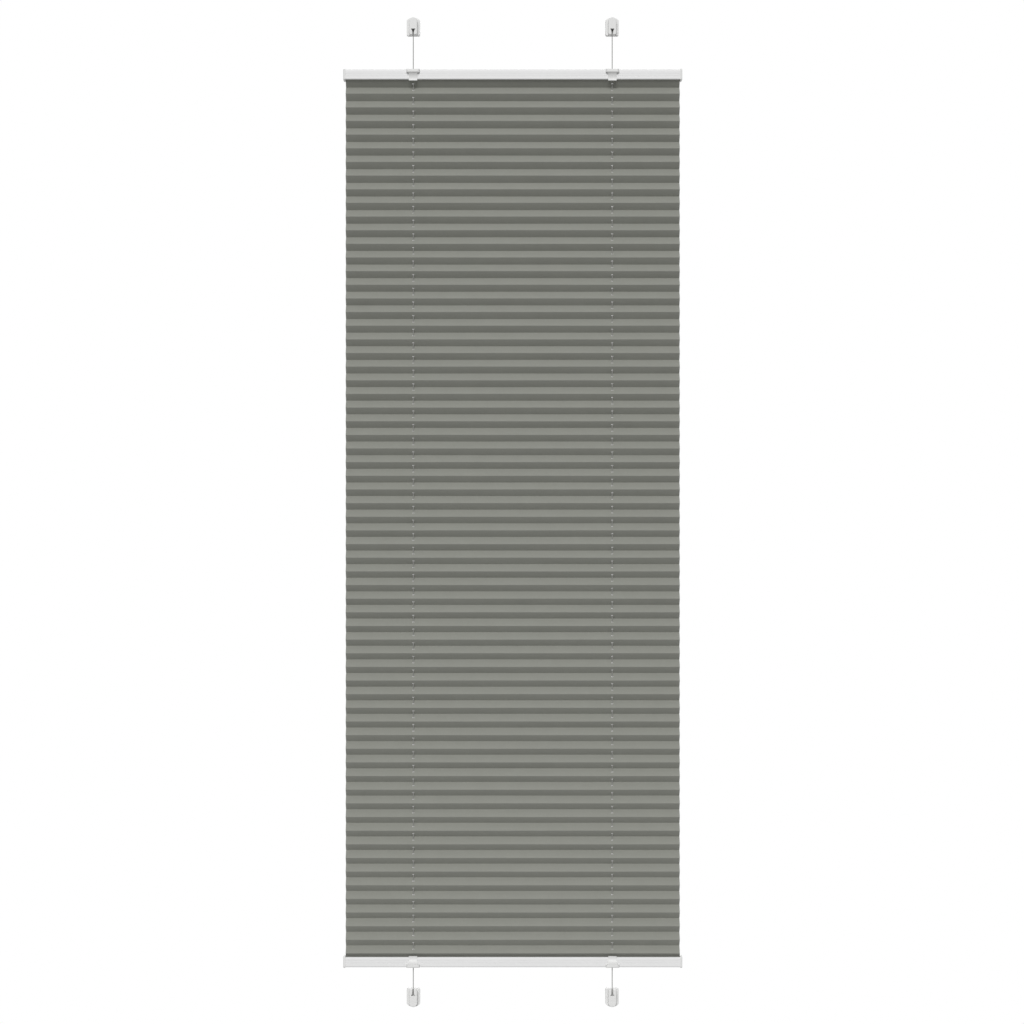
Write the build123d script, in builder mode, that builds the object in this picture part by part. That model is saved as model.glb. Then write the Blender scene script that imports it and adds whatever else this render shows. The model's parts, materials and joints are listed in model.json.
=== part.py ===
from build123d import *
import math
import os

# A cord-tensioned pleated blind. All sizes are in millimetres.
# The origin is on the wall plane, at the centre of the four screws of the tension shoes.
# +X is to the right seen from the room, +Y goes into the wall and +Z is up.

# Rails, whose length sets the sheet's width
rail_length = 494.0
rail_depth = 22.0
rail_height = 14.8
rail_wall = 1.2
rail_corner = 1.6
lip_thickness = 1.5
lip_reach = 3.3
groove_depth = 0.3
groove_width = 0.7
groove_heights = (5.0, 8.6)

# Pleated fabric
fabric_side_clearance = 0.3
fabric_width = rail_length - 2 * fabric_side_clearance
fabric_thickness = 0.3
face_length = 15.0
pleat_pitch = 20.15
pleat_count = 64
hole_width = 2.8
hole_sides = 8

# Strips that hold the sheet's ends in the rails
seat_clearance = 0.2
strip_thickness = 1.2
strip_foot = 0.9
strip_side_clearance = 0.2
strip_top_clearance = 0.3
strip_hole_radius = 2.2
sheet_end_clearance = 0.4

# End caps
cap_thickness = 3.0
cap_overhang = 0.9
cap_corner = 2.2
cap_edge = 0.8
plug_length = 9.0
plug_wall = 1.5
plug_clearance = 0.1

# Grips
grip_width = 19.6
grip_stem_width = 12.4
grip_projection = 6.0
grip_lip_height = 4.2
grip_flare = 3.4
grip_skin = 1.6
grip_under = 1.6
grip_hook = 2.4
grip_hollow = 2.2
grip_end_corner = 3.0
grip_outer_edge = 1.4
grip_inner_edge = 0.5

# Cords and cord guides
cord_radius = 0.6
cord_spacing = 294.0
cord_stand_off = 14.0
guide_clearance = 0.3
guide_radius = 3.2
guide_fit = 0.05
guide_flange_radius = 4.6
guide_flange = 0.8
guide_mouth = 0.5

# Tension shoes
shoe_width = 19.6
shoe_height = 26.4
shoe_depth = 22.0
shoe_dome = 4.2
shoe_corner = 2.4
shoe_least_corner = 0.3
shoe_base_thickness = 2.5
shoe_step = 12.0
shoe_wall = 1.6
shoe_edge = 1.0
housing_inset = 3.8
housing_end_inset = 1.0
housing_dome = 4.6
rim_width = 1.2
rim_height = 1.5
rim_clearance = 0.15
slot_width = 2.6
slot_length = 5.0
slot_wall = 1.2
funnel_width = 6.2
funnel_length = 3.8
shelf_width = 8.0
shelf_thickness = 2.5
shelf_height = 10.6
shelf_front = 4.0
notch_clearance = 0.4
screw_radius = 1.9
screw_head_radius = 3.7
screw_head_angle = 90
screw_from_end = 8.6

# Cord end knobs
knob_radius = 2.7
knob_height = 6.0
knob_edge = 0.6
knob_fit = 0.05
knob_cap = 1.0

# Gaps at rest between the shoes and the rails
top_gap = 51.9
bottom_gap = 33.9

# Sizes that follow
pleat_depth = math.sqrt(face_length**2 - (pleat_pitch / 2) ** 2)
slope = pleat_depth / (pleat_pitch / 2)
fabric_drop = (pleat_count + 0.25) * pleat_pitch
blind_height = fabric_drop + 2 * rail_height + top_gap + bottom_gap + 2 * shoe_height
shoe_end = blind_height / 2
shoe_inner = shoe_end - shoe_height
top_rail_inner = shoe_inner - top_gap - rail_height
bottom_rail_inner = top_rail_inner - fabric_drop
cord_columns = {"left": -cord_spacing / 2, "right": cord_spacing / 2}

# Heights inside a rail, counted from its fabric side
strip_base = lip_thickness + 2 * seat_clearance + fabric_thickness
web_bottom = strip_base + strip_thickness + strip_top_clearance
web_top = web_bottom + rail_wall
chamber_top = rail_height - rail_wall
chamber_width = rail_depth - 2 * rail_wall
sheet_seat = lip_thickness + seat_clearance + fabric_thickness / 2
strip_width = chamber_width - 2 * strip_side_clearance
sheet_end = strip_width / 2 - strip_foot - sheet_end_clearance

# Depths inside a shoe, counted from the wall
housing_width = shoe_width - 2 * housing_inset
guide_bore = cord_radius + guide_clearance
groove_floor = cord_stand_off - cord_radius - notch_clearance
groove_end = slot_length + funnel_length
block_end = groove_end + slot_wall


def profile_plane(inner, side, across=0.0):
    """The plane of a rail's section: x goes to the wall, y away from the fabric."""
    return Plane(origin=(across, -cord_stand_off, inner), x_dir=(0, 1, 0), z_dir=(side, 0, 0))


def front_plane(column, inner, side, depth=0.0):
    """A plane seen from the room, y going away from the fabric and z to the room."""
    return Plane(origin=(column, -depth, inner), x_dir=(side, 0, 0), z_dir=(0, -1, 0))


def cord_plane(column, height, side):
    """A level plane on a cord's axis, z going away from the fabric."""
    return Plane(origin=(column, -cord_stand_off, height), x_dir=(1, 0, 0), z_dir=(0, 0, side))


def save(piece, name):
    piece.part.label = name
    export_step(piece.part, f"parts/{name}.step")


def sheet_path():
    """The sheet's middle line in section: its flat top end, the pleats and its flat lower end."""
    front = -pleat_depth / 2
    lead_in = sheet_seat * slope
    path = [(sheet_end, top_rail_inner + sheet_seat)]
    path.append((front + lead_in, top_rail_inner + sheet_seat))
    for fold in range(2 * pleat_count + 1):
        across = front if fold % 2 == 0 else -front
        path.append((across, top_rail_inner - fold * pleat_pitch / 2))
    path.append((lead_in, bottom_rail_inner - sheet_seat))
    path.append((sheet_end, bottom_rail_inner - sheet_seat))
    return [Vector(across - cord_stand_off, height) for across, height in path]


def one_side(path, offset):
    """The path moved sideways by the offset, with sharp folds."""
    steps = [(b - a).normalized() for a, b in zip(path, path[1:])]
    normals = [Vector(-step.Y, step.X) for step in steps]
    moved = [path[0] + normals[0] * offset]
    for point, before, after in zip(path[1:], normals, normals[1:]):
        fold = (before + after).normalized()
        moved.append(point + fold * (offset / fold.dot(before)))
    moved.append(path[-1] + normals[-1] * offset)
    return moved


def punch_outline():
    """A round hole punched through the flat faces, seen from above, where the slope narrows it."""
    turns = [2 * math.pi * (i + 0.5) / hole_sides for i in range(hole_sides)]
    narrowing = pleat_depth / face_length
    radius = hole_width / 2 / math.cos(math.pi / hole_sides)
    return [(radius * math.cos(a), radius * narrowing * math.sin(a)) for a in turns]


def make_fabric():
    path = sheet_path()
    outline = one_side(path, fabric_thickness / 2) + one_side(path, -fabric_thickness / 2)[::-1]
    with BuildPart() as fabric:
        with BuildSketch(Plane.YZ):
            with BuildLine():
                Polyline([(p.X, p.Y) for p in outline], close=True)
            make_face()
        extrude(amount=fabric_width / 2, both=True)
        with BuildSketch(Plane.XY.offset(bottom_rail_inner - rail_height)):
            for column in cord_columns.values():
                with Locations((column, -cord_stand_off)):
                    Polygon(*punch_outline(), align=None)
        extrude(amount=fabric_drop + 2 * rail_height, mode=Mode.SUBTRACT)
    return fabric


def make_rail(inner, side):
    """A hollow extrusion: a closed chamber and, towards the fabric, a channel with two lips."""
    with BuildPart() as rail:
        with BuildSketch(profile_plane(inner, side)):
            with Locations((0, rail_height / 2)):
                RectangleRounded(rail_depth, rail_height, rail_corner)
            with Locations((0, (web_top + chamber_top) / 2)):
                Rectangle(chamber_width, chamber_top - web_top, mode=Mode.SUBTRACT)
            with Locations((0, (lip_thickness + web_bottom) / 2)):
                Rectangle(chamber_width, web_bottom - lip_thickness, mode=Mode.SUBTRACT)
            with Locations((0, lip_thickness / 2)):
                Rectangle(chamber_width - 2 * lip_reach, lip_thickness, mode=Mode.SUBTRACT)
            for height in groove_heights:
                with Locations((-rail_depth / 2, height)):
                    Rectangle(2 * groove_depth, groove_width, mode=Mode.SUBTRACT)
        extrude(amount=rail_length / 2, both=True)
        for column in cord_columns.values():
            with BuildSketch(cord_plane(column, inner + side * web_bottom, side)):
                Circle(guide_radius + guide_fit)
            extrude(amount=rail_height - web_bottom, mode=Mode.SUBTRACT)
    return rail


def make_strip(inner, side):
    """A flat strip with two feet that stand on the rail's lips, over the sheet's end."""
    with BuildPart() as strip:
        with BuildSketch(profile_plane(inner, side)):
            with Locations((0, (lip_thickness + strip_base + strip_thickness) / 2)):
                Rectangle(strip_width, strip_base + strip_thickness - lip_thickness)
            with Locations((0, (lip_thickness + strip_base) / 2)):
                Rectangle(strip_width - 2 * strip_foot, strip_base - lip_thickness, mode=Mode.SUBTRACT)
        extrude(amount=rail_length / 2, both=True)
        for column in cord_columns.values():
            with BuildSketch(cord_plane(column, inner + side * lip_thickness, side)):
                Circle(strip_hole_radius)
            extrude(amount=web_bottom - lip_thickness, mode=Mode.SUBTRACT)
    return strip


def make_cap(inner, side, end):
    """A push-in end cap: a rounded plate and a hollow plug that fits the rail's chamber."""
    seat = profile_plane(inner, side, end * rail_length / 2)
    outward = end * side
    plug_height = chamber_top - web_top - 2 * plug_clearance
    plug_width = chamber_width - 2 * plug_clearance
    with BuildPart() as cap:
        with BuildSketch(seat):
            with Locations((0, rail_height / 2)):
                RectangleRounded(
                    rail_depth + 2 * cap_overhang, rail_height + 2 * cap_overhang, cap_corner
                )
        extrude(amount=outward * cap_thickness)
        outer_face = cap.faces().filter_by(Axis.X).sort_by(Axis.X)[-1 if end > 0 else 0]
        chamfer(outer_face.edges(), cap_edge)
        with BuildSketch(seat):
            with Locations((0, (web_top + chamber_top) / 2)):
                Rectangle(plug_width, plug_height)
                Rectangle(plug_width - 2 * plug_wall, plug_height - 2 * plug_wall, mode=Mode.SUBTRACT)
        extrude(amount=-outward * plug_length)
    return cap


def grip_profile(lip_front, lip_root, face):
    """The grip's section: a hook under the rail, a skin on its front and a lip above a hollow."""
    foot_front = face - grip_skin
    with BuildSketch(mode=Mode.PRIVATE) as profile:
        with BuildLine():
            Polyline(
                (foot_front, -grip_under),
                (face + grip_hook, -grip_under),
                (face + grip_hook, 0),
                (face, 0),
                (face, rail_height),
                (lip_front, rail_height),
                (lip_front, lip_root),
            )
            SagittaArc((lip_front, lip_root), (foot_front, -grip_under), grip_hollow)
        make_face()
        fillet(profile.vertices().group_by(Axis.X)[0].sort_by(Axis.Y)[-1], grip_outer_edge)
        fillet(profile.vertices().group_by(Axis.X)[0].sort_by(Axis.Y)[0], grip_inner_edge)
    return profile.sketch


def grip_front(lip_root):
    """The grip's outline from the room: a straight stem that flares to the wider lip."""
    stem = grip_stem_width / 2
    lip = grip_width / 2
    flare_start = lip_root - grip_flare
    with BuildSketch(mode=Mode.PRIVATE) as outline:
        with BuildLine():
            Polyline((-stem, flare_start), (-stem, -grip_under), (stem, -grip_under), (stem, flare_start))
            TangentArc((stem, flare_start), (lip, lip_root), tangent=(0, 1))
            Polyline((lip, lip_root), (lip, rail_height), (-lip, rail_height), (-lip, lip_root))
            TangentArc((-stem, flare_start), (-lip, lip_root), tangent=(0, 1))
        make_face()
    return outline.sketch


def make_grip(column, inner, side):
    """A finger grip on the rail's front: a lip at the outer edge, hollowed towards the fabric."""
    face = -rail_depth / 2
    lip_front = face - grip_projection
    lip_root = rail_height - grip_lip_height
    with BuildPart() as grip:
        with BuildSketch(profile_plane(inner, side, column)):
            add(grip_profile(lip_front, lip_root, face))
        extrude(amount=grip_width / 2, both=True)
        with BuildSketch(front_plane(column, inner, side)):
            add(grip_front(lip_root))
        extrude(amount=cord_stand_off + rail_depth, mode=Mode.INTERSECT)
        with BuildSketch(cord_plane(column, inner - side * grip_under, side)):
            with Locations((0, side * (lip_front + rail_depth / 2))):
                RectangleRounded(grip_width, rail_depth, grip_end_corner)
        extrude(amount=grip_under + rail_height, mode=Mode.INTERSECT)
    return grip


def make_guide(column, inner, side):
    """A flanged bush that leads a cord through the rail's outer wall, chamber and web."""
    with BuildPart() as guide:
        with BuildSketch(cord_plane(column, inner + side * rail_height, side)):
            Circle(guide_flange_radius)
        extrude(amount=guide_flange)
        with BuildSketch(cord_plane(column, inner + side * rail_height, side)):
            Circle(guide_radius)
        extrude(amount=-(rail_height - web_bottom))
        with BuildSketch(cord_plane(column, inner + side * web_bottom, side)):
            Circle(guide_bore)
        extrude(amount=rail_height + guide_flange - web_bottom, mode=Mode.SUBTRACT)
        mouths = guide.edges().filter_by(GeomType.CIRCLE).sort_by(SortBy.RADIUS)[:2]
        chamfer(mouths, guide_mouth)
    return guide


def shoe_outline(width, start, end, dome, corner, inset=0.0):
    """A tension shoe's outline from the room: small corners by the blind and a domed outer end."""
    half = width / 2 - inset
    low = start + inset
    with BuildLine() as outline:
        Polyline((-half, end - dome), (-half, low), (half, low), (half, end - dome))
        ThreePointArc((half, end - dome), (0, end - inset), (-half, end - dome))
    with BuildSketch(mode=Mode.PRIVATE) as shape:
        add(outline.line)
        make_face()
        fillet(shape.vertices().group_by(Axis.Y)[0], max(corner - inset, shoe_least_corner))
    return shape.sketch


def base_outline(inset=0.0):
    return shoe_outline(shoe_width, 0, shoe_height, shoe_dome, shoe_corner, inset)


def housing_outline(inset=0.0):
    return shoe_outline(
        housing_width,
        0,
        shoe_height - housing_end_inset,
        housing_dome,
        shoe_corner,
        inset,
    )


def make_shoe_base(column, side):
    """The screwed plate with its locating rim and the notched shelf that holds the cord's knob."""
    inner = side * shoe_inner
    rim_inset = shoe_wall + rim_clearance
    shelf_depth = cord_stand_off + shelf_front
    with BuildPart() as base:
        with BuildSketch(front_plane(column, inner, side)):
            add(base_outline())
        extrude(amount=shoe_base_thickness)
        with BuildSketch(front_plane(column, inner, side, shoe_base_thickness)):
            add(base_outline(rim_inset))
            add(base_outline(rim_inset + rim_width), mode=Mode.SUBTRACT)
        extrude(amount=rim_height)
        with BuildSketch(front_plane(column, inner, side)):
            with Locations((0, shelf_height + shelf_thickness / 2)):
                Rectangle(shelf_width, shelf_thickness)
        extrude(amount=shelf_depth)
        notch = 2 * (cord_radius + notch_clearance)
        with BuildSketch(front_plane(column, inner, side, cord_stand_off)):
            with Locations((0, shelf_height + shelf_thickness / 2)):
                Rectangle(notch, shelf_thickness)
        extrude(amount=shelf_front, mode=Mode.SUBTRACT)
        with BuildSketch(cord_plane(column, inner + side * shelf_height, side)):
            Circle(notch / 2)
        extrude(amount=shelf_thickness, mode=Mode.SUBTRACT)
        with Locations(front_plane(column, inner, side, shoe_base_thickness)):
            with Locations((0, shoe_height - screw_from_end)):
                CounterSinkHole(
                    screw_radius,
                    screw_head_radius,
                    depth=shoe_base_thickness,
                    counter_sink_angle=screw_head_angle,
                )
    return base


def make_shoe_cover(column, side):
    """The domed cover: a wide lower shell, a narrower housing and the cord's groove with its funnel."""
    inner = side * shoe_inner
    seat = front_plane(column, inner, side, shoe_base_thickness)
    lower_depth = shoe_step - shoe_base_thickness
    full_depth = shoe_depth - shoe_base_thickness
    with BuildPart() as cover:
        with BuildSketch(seat):
            add(base_outline())
        extrude(amount=lower_depth)
        with BuildSketch(seat):
            add(housing_outline())
        extrude(amount=full_depth)
        rims = cover.faces().filter_by(Axis.Y).sort_by(Axis.Y)[0]
        fillet(rims.edges(), shoe_edge)
        with BuildSketch(seat):
            add(base_outline(shoe_wall))
        extrude(amount=lower_depth - shoe_wall, mode=Mode.SUBTRACT)
        with BuildSketch(seat):
            add(housing_outline(shoe_wall))
        extrude(amount=full_depth - shoe_wall, mode=Mode.SUBTRACT)
        with BuildSketch(front_plane(column, inner, side, groove_floor - slot_wall)):
            with Locations((0, (shoe_wall / 2 + block_end) / 2)):
                Rectangle(housing_width - shoe_wall, block_end - shoe_wall / 2)
        extrude(amount=shoe_depth - groove_floor)
        with BuildSketch(cord_plane(column, inner + side * groove_end, side)):
            Circle(cord_radius + notch_clearance)
        extrude(amount=shelf_height - groove_end, mode=Mode.SUBTRACT)
        with BuildSketch(front_plane(column, inner, side, groove_floor)):
            with BuildLine():
                Polyline(
                    (-slot_width / 2, -shoe_wall),
                    (slot_width / 2, -shoe_wall),
                    (slot_width / 2, slot_length),
                    (funnel_width / 2, groove_end),
                    (-funnel_width / 2, groove_end),
                    (-slot_width / 2, slot_length),
                    close=True,
                )
            make_face()
        extrude(amount=shoe_depth - groove_floor, mode=Mode.SUBTRACT)
    return cover


def make_knob(column, side):
    """The knob crimped on a cord's end, which the shelf of the shoe holds back."""
    start = side * (shoe_inner + shelf_height + shelf_thickness)
    with BuildPart() as knob:
        with BuildSketch(cord_plane(column, start, side)):
            Circle(knob_radius)
        extrude(amount=knob_height)
        chamfer(knob.edges().filter_by(GeomType.CIRCLE), knob_edge)
        with BuildSketch(cord_plane(column, start, side)):
            Circle(cord_radius + knob_fit)
        extrude(amount=knob_height - knob_cap, mode=Mode.SUBTRACT)
    return knob


def make_cord(column):
    reach = shoe_inner + shelf_height + shelf_thickness + knob_height - knob_cap - knob_fit
    with BuildPart() as cord:
        with BuildSketch(cord_plane(column, -reach, 1)):
            Circle(cord_radius)
        extrude(amount=2 * reach)
    return cord


os.makedirs("parts", exist_ok=True)
save(make_fabric(), "pleated_fabric")
rails = {"top": (top_rail_inner, 1), "bottom": (bottom_rail_inner, -1)}
for level, (inner, side) in rails.items():
    save(make_rail(inner, side), f"{level}_rail")
    save(make_strip(inner, side), f"{level}_fabric_strip")
    for hand, column in cord_columns.items():
        save(make_cap(inner, side, math.copysign(1, column)), f"{level}_rail_cap_{hand}")
        save(make_grip(column, inner, side), f"{level}_grip_{hand}")
        save(make_guide(column, inner, side), f"{level}_cord_guide_{hand}")
        save(make_shoe_base(column, side), f"{level}_shoe_base_{hand}")
        save(make_shoe_cover(column, side), f"{level}_shoe_cover_{hand}")
        save(make_knob(column, side), f"{level}_cord_knob_{hand}")
for hand, column in cord_columns.items():
    save(make_cord(column), f"tension_cord_{hand}")
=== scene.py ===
"""A pleated blind held on two tensioned cords: grey folded fabric between two white rails."""

import json
import math
import random
from collections import namedtuple

import bpy
import numpy as np
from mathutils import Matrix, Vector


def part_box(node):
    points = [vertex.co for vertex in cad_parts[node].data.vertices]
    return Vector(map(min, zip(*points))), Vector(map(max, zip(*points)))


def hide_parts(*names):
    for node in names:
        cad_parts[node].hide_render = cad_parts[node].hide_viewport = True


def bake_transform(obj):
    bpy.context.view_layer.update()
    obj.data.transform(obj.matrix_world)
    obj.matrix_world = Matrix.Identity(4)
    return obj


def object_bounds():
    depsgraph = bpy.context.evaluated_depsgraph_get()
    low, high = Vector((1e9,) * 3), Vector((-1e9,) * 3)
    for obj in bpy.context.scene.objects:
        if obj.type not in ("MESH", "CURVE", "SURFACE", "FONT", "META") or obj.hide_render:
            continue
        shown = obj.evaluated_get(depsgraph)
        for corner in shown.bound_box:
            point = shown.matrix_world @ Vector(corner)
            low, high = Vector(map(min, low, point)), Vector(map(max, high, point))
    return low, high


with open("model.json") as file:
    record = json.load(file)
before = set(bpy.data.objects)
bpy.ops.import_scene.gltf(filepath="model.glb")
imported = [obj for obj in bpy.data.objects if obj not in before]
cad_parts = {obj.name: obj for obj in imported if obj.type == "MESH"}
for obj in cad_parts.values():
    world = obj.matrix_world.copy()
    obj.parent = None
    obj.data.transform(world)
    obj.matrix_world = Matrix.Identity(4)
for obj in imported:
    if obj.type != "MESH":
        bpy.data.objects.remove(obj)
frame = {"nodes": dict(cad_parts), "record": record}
cad_low, cad_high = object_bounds()


def linear(value):
    """A display value from 0 to 255 as the linear value that a shader takes, by the sRGB curve."""
    share = value / 255
    return share / 12.92 if share <= 0.04045 else ((share + 0.055) / 1.055) ** 2.4


def colour(red, green, blue):
    return (linear(red), linear(green), linear(blue), 1.0)


# Sizes are in metres, and the axes are numbered from X
MM = 0.001
ACROSS = 0
INWARD = 1

# Folded sheet: its whole pleats, the part of one more that runs on to the bottom rail, and how far its
# ends are seated inside the rails
PLEATS = 64
LAST_PLEAT_PART = 0.25
FACE_LENGTH = 15.0 * MM
FACE_MIDDLE = 0.5
SHEET_THICKNESS = 0.28 * MM
SHEET_SEAT = 1.85 * MM

# Its mesh: a fine patch round each hole, columns further apart elsewhere, and rounded creases
HOLE_RADIUS = 1.2 * MM
PATCH_HALF = 2.2 * MM
PATCH_STEPS = 2
COLUMN_STEP = 16.0 * MM
CREASE_REACH = 0.55 * MM
CREASE_DROP = 0.308 * MM

# How uneven the folds are, and how far the faces that look up and down swell
FOLD_SEED = 4
FOLD_DRIFT = 0.08 * MM
FOLD_WAVE = 0.10 * MM
WAVE_IN_DEPTH = 0.6
WAVE_IN_HEIGHT = 0.5
SHORTEST_WAVE = 0.18
LONGEST_WAVE = 0.45
UPPER_SWELL = 0.45 * MM
UNDER_SWELL = 0.08 * MM

# Photograph and camera
IMAGE_SIDE = 1024
PIXEL = 1.4747 * MM
CENTRE_PIXEL = (512.73, 512.2)
CAMERA_DISTANCE = 4.6
SENSOR = 36.0
NEAREST_SEEN = 0.1
FARTHEST_SEEN = 50.0

# Fabric: pitch and depth of the weave, and the yarns' own unevenness across and along them
THREAD_PITCH = 0.4 * MM
WEAVE_DEPTH = 0.05 * MM
WEAVE_STRENGTH = 0.7
YARN_ACROSS = 2500.0
YARN_ALONG = 90.0
MOTTLE_SCALE = 35.0
MOTTLE_DETAIL = 4.0
FABRIC_DARK = colour(135, 136, 129)
FABRIC_LIGHT = colour(153, 154, 147)
FABRIC_ROUGHNESS = 0.9
FABRIC_SPECULAR = 0.2
FABRIC_SHEEN = 0.08
FABRIC_SHEEN_ROUGHNESS = 0.6

# Powder coat of the rails
COAT_DARK = colour(222, 222, 222)
COAT_LIGHT = colour(226, 226, 226)
COAT_TONE_SCALE = 14.0
PEEL_SCALE = 700.0
PEEL_DEPTH = 0.03 * MM
PEEL_STRENGTH = 0.7
COAT_ROUGHNESS = 0.38

# Moulded plastic of the shoes, grips, caps and guides, and of the strips inside the rails
PLASTIC_DARK = colour(216, 216, 215)
PLASTIC_LIGHT = colour(222, 222, 221)
PLASTIC_ROUGHNESS = 0.48
STRIP_DARK = colour(205, 205, 205)
STRIP_LIGHT = colour(212, 212, 212)
STRIP_ROUGHNESS = 0.3
PLASTIC_TONE_SCALE = 60.0
GRAIN_SCALE = 2200.0
GRAIN_DEPTH = 0.02 * MM
GRAIN_STRENGTH = 0.8
TONE_DETAIL = 3.0

# Braided cord
BRAID_ALONG = 1.6 * MM
BRAID_AROUND = 1.1 * MM
BRAID_DEPTH = 0.06 * MM
CORD_DARK = colour(136, 136, 133)
CORD_LIGHT = colour(152, 152, 149)
CORD_TONE_SCALE = 400.0
CORD_ROUGHNESS = 0.8

# Floor
FLOOR_WIDTH = 5.0
FLOOR_DEPTH = 2.6
FLOOR_PLACE = -0.3
FLOOR_DROP = 0.35
FLOOR_BOUNCE = (0.6, 0.6, 0.6, 1.0)
FLOOR_SEEN = (0.93, 0.93, 0.93, 1.0)
FLOOR_ROUGHNESS = 0.9

# World
WORLD_COLOUR = (1.0, 1.0, 1.0, 1.0)
WORLD_SEEN = 1.0
WORLD_LIGHT = 0.28


# Camera


def add_camera():
    """Straight on, with the blind's middle on CENTRE_PIXEL and PIXEL as the scale at the rails' front."""
    data = bpy.data.cameras.new("camera")
    data.sensor_width = SENSOR
    data.lens = SENSOR * CAMERA_DISTANCE / (IMAGE_SIDE * PIXEL)
    data.clip_start = NEAREST_SEEN
    data.clip_end = FARTHEST_SEEN
    camera = bpy.data.objects.new("camera", data)
    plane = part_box("top_rail")[0].y
    across = -(CENTRE_PIXEL[0] - IMAGE_SIDE / 2) * PIXEL
    up = (CENTRE_PIXEL[1] - IMAGE_SIDE / 2) * PIXEL
    camera.location = (across, plane - CAMERA_DISTANCE, up)
    camera.rotation_euler = (math.pi / 2, 0, 0)
    bpy.context.scene.collection.objects.link(camera)
    bpy.context.scene.camera = camera


# Materials


class Nodes:
    """A material's node tree, with short calls to add and join nodes."""

    def __init__(self, name):
        self.material = bpy.data.materials.new(name)
        self.material.use_nodes = True
        self.tree = self.material.node_tree
        self.shader = self.tree.nodes["Principled BSDF"]

    def add(self, kind, **settings):
        node = self.tree.nodes.new(kind)
        for name, value in settings.items():
            setattr(node, name, value)
        return node

    def join(self, source, target):
        self.tree.links.new(source, target)

    def maths(self, operation, first, second=None):
        node = self.add("ShaderNodeMath", operation=operation)
        for socket, value in zip(node.inputs, (first, second)):
            if isinstance(value, (int, float)):
                socket.default_value = value
            elif value is not None:
                self.join(value, socket)
        return node.outputs[0]

    def noise(self, vector, scale=1.0, detail=2.0):
        node = self.add("ShaderNodeTexNoise")
        node.inputs["Scale"].default_value = scale
        node.inputs["Detail"].default_value = detail
        self.join(vector, node.inputs["Vector"])
        return node.outputs["Fac"]

    def stretched(self, vector, across, along):
        """A flat coordinate with its two directions scaled apart."""
        node = self.add("ShaderNodeMapping")
        node.inputs["Scale"].default_value = (across, along, 1.0)
        self.join(vector, node.inputs["Vector"])
        return node.outputs["Vector"]

    def mix(self, share, first, second):
        """Blends two colours by a share."""
        node = self.add("ShaderNodeMix", data_type="RGBA")
        self.join(share, node.inputs["Factor"])
        node.inputs["A"].default_value = first
        node.inputs["B"].default_value = second
        return node.outputs["Result"]

    def paint(self, share, dark, light):
        """Colours the surface between a darker and a lighter tone."""
        self.join(self.mix(share, dark, light), self.shader.inputs["Base Color"])

    def bump(self, height, distance, strength=1.0):
        node = self.add("ShaderNodeBump")
        node.inputs["Distance"].default_value = distance
        node.inputs["Strength"].default_value = strength
        self.join(height, node.inputs["Height"])
        self.join(node.outputs["Normal"], self.shader.inputs["Normal"])


def fabric_material():
    """Plain-woven polyester: threads that cross over and under, each a little thicker or paler along
    its length, and a soft mottle where the yarn took the dye unevenly."""
    made = Nodes("pleated_fabric")
    cloth = made.add("ShaderNodeUVMap", uv_map="cloth").outputs["UV"]
    parts = made.add("ShaderNodeSeparateXYZ")
    made.join(cloth, parts.inputs["Vector"])
    thread = math.pi / THREAD_PITCH
    across = made.maths("MULTIPLY", parts.outputs["X"], thread)
    along = made.maths("MULTIPLY", parts.outputs["Y"], thread)
    warp = made.maths("ABSOLUTE", made.maths("SINE", across))
    weft = made.maths("ABSOLUTE", made.maths("SINE", along))
    over = made.maths("MULTIPLY", made.maths("COSINE", across), made.maths("COSINE", along))
    upper = made.maths("ADD", warp, over)
    lower = made.maths("SUBTRACT", weft, over)
    weave = made.maths("MAXIMUM", upper, lower)
    warp_yarn = made.noise(made.stretched(cloth, YARN_ACROSS, YARN_ALONG))
    weft_yarn = made.noise(made.stretched(cloth, YARN_ALONG, YARN_ACROSS))
    yarns = made.maths("ADD", warp_yarn, weft_yarn)
    made.bump(made.maths("ADD", weave, yarns), WEAVE_DEPTH, WEAVE_STRENGTH)
    mottle = made.noise(cloth, MOTTLE_SCALE, MOTTLE_DETAIL)
    shade = made.maths("MULTIPLY", made.maths("ADD", mottle, yarns), 1 / 3)
    made.paint(shade, FABRIC_DARK, FABRIC_LIGHT)
    made.shader.inputs["Roughness"].default_value = FABRIC_ROUGHNESS
    made.shader.inputs["Specular IOR Level"].default_value = FABRIC_SPECULAR
    made.shader.inputs["Sheen Weight"].default_value = FABRIC_SHEEN
    made.shader.inputs["Sheen Roughness"].default_value = FABRIC_SHEEN_ROUGHNESS
    return made.material


def powder_coat(name):
    """White powder coat on aluminium: a satin skin with the faint orange-peel texture of baked powder."""
    made = Nodes(name)
    place = made.add("ShaderNodeTexCoord").outputs["Object"]
    made.paint(made.noise(place, COAT_TONE_SCALE, TONE_DETAIL), COAT_DARK, COAT_LIGHT)
    made.bump(made.noise(place, PEEL_SCALE), PEEL_DEPTH, PEEL_STRENGTH)
    made.shader.inputs["Roughness"].default_value = COAT_ROUGHNESS
    return made.material


def moulded_plastic(name, dark, light, roughness):
    """Moulded plastic with a fine spark-eroded grain."""
    made = Nodes(name)
    place = made.add("ShaderNodeTexCoord").outputs["Object"]
    made.paint(made.noise(place, PLASTIC_TONE_SCALE, TONE_DETAIL), dark, light)
    made.bump(made.noise(place, GRAIN_SCALE), GRAIN_DEPTH, GRAIN_STRENGTH)
    made.shader.inputs["Roughness"].default_value = roughness
    return made.material


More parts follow.
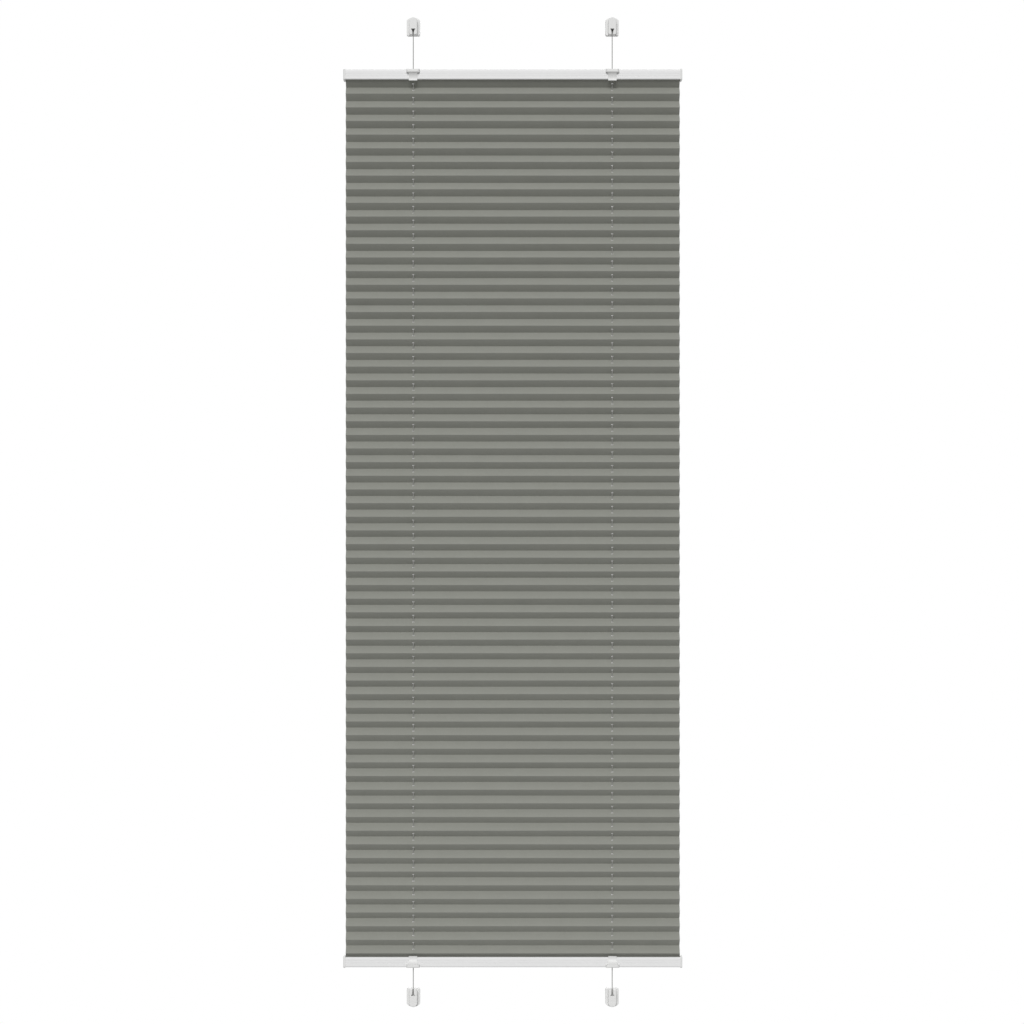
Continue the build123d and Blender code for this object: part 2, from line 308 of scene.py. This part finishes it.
def cord_material():
    """A round braid of fine polyester threads that cross at a slant."""
    made = Nodes("cord")
    place = made.add("ShaderNodeTexCoord").outputs["Object"]
    parts = made.add("ShaderNodeSeparateXYZ")
    made.join(place, parts.inputs["Vector"])
    along = made.maths("MULTIPLY", parts.outputs["Z"], 2 * math.pi / BRAID_ALONG)
    around = made.maths("MULTIPLY", parts.outputs["X"], 2 * math.pi / BRAID_AROUND)
    one_way = made.maths("SINE", made.maths("ADD", along, around))
    other_way = made.maths("SINE", made.maths("SUBTRACT", along, around))
    made.bump(made.maths("MAXIMUM", one_way, other_way), BRAID_DEPTH)
    made.paint(made.noise(place, CORD_TONE_SCALE), CORD_DARK, CORD_LIGHT)
    made.shader.inputs["Roughness"].default_value = CORD_ROUGHNESS
    return made.material


def paint_cad_nodes():
    """Every carried-over node gets the material of its slot."""
    materials = {
        "rail_paint": powder_coat("rail_paint"),
        "white_plastic": moulded_plastic(
            "white_plastic", PLASTIC_DARK, PLASTIC_LIGHT, PLASTIC_ROUGHNESS
        ),
        "clear_strip": moulded_plastic("clear_strip", STRIP_DARK, STRIP_LIGHT, STRIP_ROUGHNESS),
        "cord": cord_material(),
    }
    slots = {part["node"]: part["material_slot"] for part in frame["record"]["subparts"]}
    for name, node in frame["nodes"].items():
        if slots[name] in materials:
            for place in node.material_slots:
                place.material = materials[slots[name]]


# Folded sheet

# A row of the sheet's points: Y and Z across the sheet, the distance along the cloth from the first
# fold, and whether holes have their middle there
Row = namedtuple("Row", ["y", "z", "along", "holed"])


def middle(box, axis):
    """A box's middle along one axis."""
    return (box[0][axis] + box[1][axis]) / 2


class Sheet:
    """Where the folded sheet lies between the rails and round the cords, and the size of its folds."""

    def __init__(self):
        self.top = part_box("top_rail")[0].z
        self.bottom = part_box("bottom_rail")[1].z
        self.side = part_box("pleated_fabric")[1].x
        self.seat_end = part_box("pleated_fabric")[1].y
        self.cords = [middle(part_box(f"tension_cord_{hand}"), ACROSS) for hand in ("left", "right")]
        self.plane = middle(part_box("tension_cord_left"), INWARD)
        self.rise = (self.top - self.bottom) / (PLEATS + LAST_PLEAT_PART) / 2
        self.depth = math.sqrt(FACE_LENGTH**2 - self.rise**2)
        self.slope = self.depth / self.rise

    def folds(self):
        """Each fold's place in section, from the top: even ones are in front, odd ones behind."""
        front = self.plane - self.depth / 2
        back = self.plane + self.depth / 2
        return [(front if i % 2 == 0 else back, self.top - i * self.rise) for i in range(2 * PLEATS + 1)]


def patch_steps():
    """Steps from a hole's middle over its patch, from one edge to the other."""
    return [step * PATCH_HALF / PATCH_STEPS for step in range(-PATCH_STEPS, PATCH_STEPS + 1)]


def columns_across(sheet):
    """Places of the mesh's columns, closer together round the two columns of cord holes."""
    left = [sheet.cords[0] + step for step in patch_steps()]
    right = [sheet.cords[1] + step for step in patch_steps()]
    places = [-sheet.side] + left + right + [sheet.side]
    for start, end in ((-sheet.side, left[0]), (left[-1], right[0]), (right[-1], sheet.side)):
        count = max(1, round((end - start) / COLUMN_STEP))
        places += [start + (end - start) * i / count for i in range(1, count)]
    return np.array(sorted(places))


def fold_lines(sheet, columns):
    """Each fold's line across the sheet, a little uneven, as arrays of Y and Z."""
    draw = random.Random(FOLD_SEED)
    lines = []
    for y, z in sheet.folds():
        drift = draw.uniform(-FOLD_DRIFT, FOLD_DRIFT)
        phase = draw.uniform(0, 2 * math.pi)
        length = draw.uniform(SHORTEST_WAVE, LONGEST_WAVE)
        wave = FOLD_WAVE * np.sin(columns / length * 2 * math.pi + phase)
        lines.append((y + wave * WAVE_IN_DEPTH, z + drift + wave * WAVE_IN_HEIGHT))
    return lines


def hole_shares(centre, length):
    """Where the rows round a layer's holes lie, as shares of the layer's length."""
    return [centre + step / length for step in patch_steps()]


def crease_point(before, fold, after):
    """The rounded crease's middle, drawn back from the sharp fold towards its inner side."""
    y = fold[0] + (before[0] + after[0] - 2 * fold[0]) / 2 / FACE_LENGTH * CREASE_DROP
    z = fold[1] + (before[1] + after[1] - 2 * fold[1]) / 2 / FACE_LENGTH * CREASE_DROP
    return y, z


def straight_rows(start, end, along, length, crossing):
    """Rows of a flat layer from start up to end, with its holes where the cords cross it."""
    rows = []
    for share in [0.0] + hole_shares(crossing, length):
        y = start[0] + (end[0] - start[0]) * share
        z = start[1] + (end[1] - start[1]) * share
        rows.append(Row(y, z, along + share * length, share == crossing))
    return rows


def face_rows(sheet, start, end, along, index):
    """Rows of one face between two folds, which swells a little."""
    swell = UNDER_SWELL if index % 2 == 0 else UPPER_SWELL
    lift = sheet.depth if index % 2 == 1 else -sheet.depth
    crease = CREASE_REACH / FACE_LENGTH
    rows = []
    for share in [crease] + hole_shares(FACE_MIDDLE, FACE_LENGTH) + [1 - crease]:
        bulge = swell * 4 * share * (1 - share) / FACE_LENGTH
        y = start[0] + (end[0] - start[0]) * share - bulge * sheet.rise
        z = start[1] + (end[1] - start[1]) * share + bulge * lift
        rows.append(Row(y, z, along + share * FACE_LENGTH, share == FACE_MIDDLE))
    return rows


def top_end_rows(sheet, lines, level):
    """Rows of the upper end: level inside the rail, then down its slope to the first fold."""
    lead = SHEET_SEAT * sheet.slope
    seat_z = sheet.top + SHEET_SEAT
    bend_y = sheet.plane - sheet.depth / 2 + lead
    seat = sheet.seat_end - bend_y
    bend = math.hypot(lead, SHEET_SEAT)
    start = (level + sheet.seat_end, level + seat_z)
    end = (lines[0][0] + lead, level + seat_z)
    rows = straight_rows(start, end, -bend - seat, seat, (sheet.seat_end - sheet.plane) / seat)
    rows.append(Row(end[0], end[1], -bend, False))
    rows.append(Row(lines[0][0], lines[0][1], 0.0, False))
    return rows


def bottom_end_rows(sheet, lines, level, along):
    """Rows of the lower end: from the last fold down a part of a face, then level inside the rail."""
    lead = SHEET_SEAT * sheet.slope
    seat_z = sheet.bottom - SHEET_SEAT
    tail = math.hypot(sheet.depth / 2 + lead, seat_z - lines[-1][1].mean())
    seat = sheet.seat_end - sheet.plane - lead
    end = (level + sheet.plane + lead, level + seat_z)
    rows = straight_rows(lines[-1], end, along, tail, FACE_LENGTH * FACE_MIDDLE / tail)
    rows.append(Row(end[0], end[1], along + tail, False))
    rows.append(Row(level + sheet.seat_end, level + seat_z, along + tail + seat, False))
    return rows


def sheet_rows(sheet, columns):
    """Rows of points from the top rail to the bottom rail, and the number of the middle fold's row."""
    lines = fold_lines(sheet, columns)
    level = np.zeros(len(columns))
    rows = top_end_rows(sheet, lines, level)
    along = 0.0
    for i in range(2 * PLEATS):
        if i > 0:
            y, z = crease_point(lines[i - 1], lines[i], lines[i + 1])
            rows.append(Row(y, z, along, False))
        if i == PLEATS:
            middle_row = len(rows) - 1
        rows += face_rows(sheet, lines[i], lines[i + 1], along, i)
        along += FACE_LENGTH
    return rows + bottom_end_rows(sheet, lines, level, along), middle_row


def patch_ring():
    """Rows and columns from a hole's middle to each point round its patch, in order."""
    reach = PATCH_STEPS
    ring = [(-reach, j) for j in range(-reach, reach)]
    ring += [(i, reach) for i in range(-reach, reach)]
    ring += [(reach, j) for j in range(reach, -reach, -1)]
    ring += [(i, -reach) for i in range(reach, -reach, -1)]
    return ring


def hole_edge(places, centre, outer):
    """Places on the hole's edge, one towards each of the points round its patch."""
    steps = places[outer] - places[centre]
    return places[centre] + steps * HOLE_RADIUS / np.linalg.norm(steps, axis=1)[:, None]


def sheet_surface(sheet):
    """Points, cloth coordinates and each half's quads of one layer, with a round hole in every face and
    column."""
    columns = columns_across(sheet)
    rows, middle_row = sheet_rows(sheet, columns)
    width = len(columns)
    points = np.vstack([np.column_stack([columns, row.y, row.z]) for row in rows])
    coordinates = np.vstack([np.column_stack([columns, np.full(width, row.along)]) for row in rows])
    centres = [int(np.argmin(abs(columns - x))) for x in sheet.cords]
    holes = [(r, c) for r, row in enumerate(rows) if row.holed for c in centres]
    inside = range(-PATCH_STEPS, PATCH_STEPS)
    skipped = {(r + i, c + j) for r, c in holes for i in inside for j in inside}
    halves = ([], [])
    for r in range(len(rows) - 1):
        quads = halves[0 if r < middle_row else 1]
        for c in range(width - 1):
            if (r, c) not in skipped:
                corner = r * width + c
                quads.append((corner, corner + 1, corner + width + 1, corner + width))
    for r, c in holes:
        quads = halves[0 if r < middle_row else 1]
        centre = r * width + c
        outer = [(r + i) * width + c + j for i, j in patch_ring()]
        start = len(points)
        points = np.vstack([points, hole_edge(points, centre, outer)])
        coordinates = np.vstack([coordinates, hole_edge(coordinates, centre, outer)])
        for k in range(len(outer)):
            n = (k + 1) % len(outer)
            quads.append((outer[k], outer[n], start + n, start + k))
    return points, coordinates, halves


def both_sides(points, quads):
    """The points of the sheet's two sides, moved off its middle along the mean direction of their quads."""
    quads = np.array(quads)
    corners = points[quads]
    normals = np.cross(corners[:, 2] - corners[:, 0], corners[:, 3] - corners[:, 1])
    normals /= np.linalg.norm(normals, axis=1)[:, None]
    summed = np.zeros_like(points)
    for k in range(4):
        np.add.at(summed, quads[:, k], normals)
    length = np.linalg.norm(summed, axis=1)
    length[length == 0] = 1
    unit = summed / length[:, None]
    return np.vstack([points + unit * SHEET_THICKNESS / 2, points - unit * SHEET_THICKNESS / 2])


def closed_faces(quads, count):
    """The quads on both sides and the strip of cut edge all round them and in every hole."""
    quads = np.array(quads)
    edges = np.vstack([np.column_stack([quads[:, k], quads[:, (k + 1) % 4]]) for k in range(4)])
    used = {(a, b) for a, b in edges.tolist()}
    border = [(a, b) for a, b in used if (b, a) not in used]
    rim = [(b, a, a + count, b + count) for a, b in sorted(border)]
    return quads.tolist() + (quads[:, ::-1] + count).tolist() + rim


def used_alone(faces):
    """The points that the faces use, and the faces with those points counted anew."""
    used = np.unique(np.array(faces))
    place = {old: new for new, old in enumerate(used.tolist())}
    return used, [[place[i] for i in face] for face in faces]


def close_evenly(piece, heights, fixed_height, moving_height):
    """Sets each point's height, on both sides of the sheet alike, from its middle's height by the inverse
    of a smooth step between the fixed and the moving height, bakes the object's transform into its mesh,
    and then puts the true places back."""
    count = len(piece.data.vertices)
    true = np.zeros(count * 3)
    piece.data.vertices.foreach_get("co", true)
    seen = true.reshape(-1, 3).copy()
    share = np.clip((heights - fixed_height) / (moving_height - fixed_height), 0, 1)
    eased = 0.5 - np.sin(np.arcsin(1 - 2 * share) / 3)
    seen[:, 2] = fixed_height + eased * (moving_height - fixed_height)
    piece.data.vertices.foreach_set("co", seen.ravel())
    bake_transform(piece)
    piece.data.vertices.foreach_set("co", true)
    piece.data.update()


def add_half_sheet(sheet, name, surface, quads, moving, material):
    """One half of the sheet, from its rail to the middle fold, where the halves share their points."""
    points, coordinates, sides = surface
    used, faces = used_alone(closed_faces(quads, len(points)))
    mesh = bpy.data.meshes.new(name)
    mesh.from_pydata(sides[used].tolist(), [], faces)
    cloth = mesh.uv_layers.new(name="cloth")
    corner = np.zeros(len(mesh.loops), int)
    mesh.loops.foreach_get("vertex_index", corner)
    places = np.vstack([coordinates, coordinates])[used]
    cloth.data.foreach_set("uv", places[corner].ravel())
    mesh.materials.append(material)
    mesh.update()
    piece = bpy.data.objects.new(name, mesh)
    bpy.context.scene.collection.objects.link(piece)
    heights = np.tile(points[:, 2], 2)[used]
    middle_height = sheet.top - PLEATS * sheet.rise
    rail_edge = sheet.top if moving == "top_rail" else sheet.bottom
    close_evenly(piece, heights, middle_height, rail_edge)
    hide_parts("pleated_fabric")


def add_fabric():
    sheet = Sheet()
    material = fabric_material()
    points, coordinates, halves = sheet_surface(sheet)
    upper, lower = halves
    surface = (points, coordinates, both_sides(points, upper + lower))
    add_half_sheet(sheet, "fabric_upper_half", surface, upper, "top_rail", material)
    add_half_sheet(sheet, "fabric_lower_half", surface, lower, "bottom_rail", material)


# Stage and light


def add_stage():
    """A pale floor below the blind, out of the photograph's frame."""
    bpy.ops.mesh.primitive_plane_add(size=1.0)
    floor = bpy.context.object
    floor.name = "floor"
    floor.scale = (FLOOR_WIDTH, FLOOR_DEPTH, 1.0)
    floor.location = (0.0, FLOOR_PLACE, cad_low.z - FLOOR_DROP)
    made = Nodes("floor")
    path = made.add("ShaderNodeLightPath")
    made.paint(path.outputs["Is Camera Ray"], FLOOR_BOUNCE, FLOOR_SEEN)
    made.shader.inputs["Roughness"].default_value = FLOOR_ROUGHNESS
    floor.data.materials.append(made.material)


def add_world():
    """White to the camera and to gloss, and an even dim light for everything else."""
    world = bpy.data.worlds.new("studio")
    world.use_nodes = True
    tree = world.node_tree
    background = tree.nodes["Background"]
    path = tree.nodes.new("ShaderNodeLightPath")
    seen = tree.nodes.new("ShaderNodeMath")
    seen.operation = "MAXIMUM"
    tree.links.new(path.outputs["Is Camera Ray"], seen.inputs[0])
    tree.links.new(path.outputs["Is Glossy Ray"], seen.inputs[1])
    strength = tree.nodes.new("ShaderNodeMix")
    strength.data_type = "FLOAT"
    tree.links.new(seen.outputs[0], strength.inputs["Factor"])
    strength.inputs["A"].default_value = WORLD_LIGHT
    strength.inputs["B"].default_value = WORLD_SEEN
    tree.links.new(strength.outputs["Result"], background.inputs["Strength"])
    background.inputs["Color"].default_value = WORLD_COLOUR
    bpy.context.scene.world = world


def add_softbox(name, strength, height_angle, side_angle, spread):
    """A far and wide studio light above the blind, its side angle counted from straight in front.
    All angles are in degrees."""
    data = bpy.data.lights.new(name, "SUN")
    data.energy = strength * math.pi
    data.angle = math.radians(spread)
    light = bpy.data.objects.new(name, data)
    light.rotation_euler = (math.radians(90 - height_angle), 0, math.radians(side_angle))
    bpy.context.scene.collection.objects.link(light)


def add_lights():
    add_world()
    add_softbox("front_softbox", strength=0.71, height_angle=27.5, side_angle=-4.0, spread=24.0)
    add_softbox("rear_softbox", strength=0.30, height_angle=30.0, side_angle=170.0, spread=60.0)


bpy.context.scene.view_settings.view_transform = "Standard"
add_camera()
paint_cad_nodes()
add_fabric()
add_stage()
add_lights()
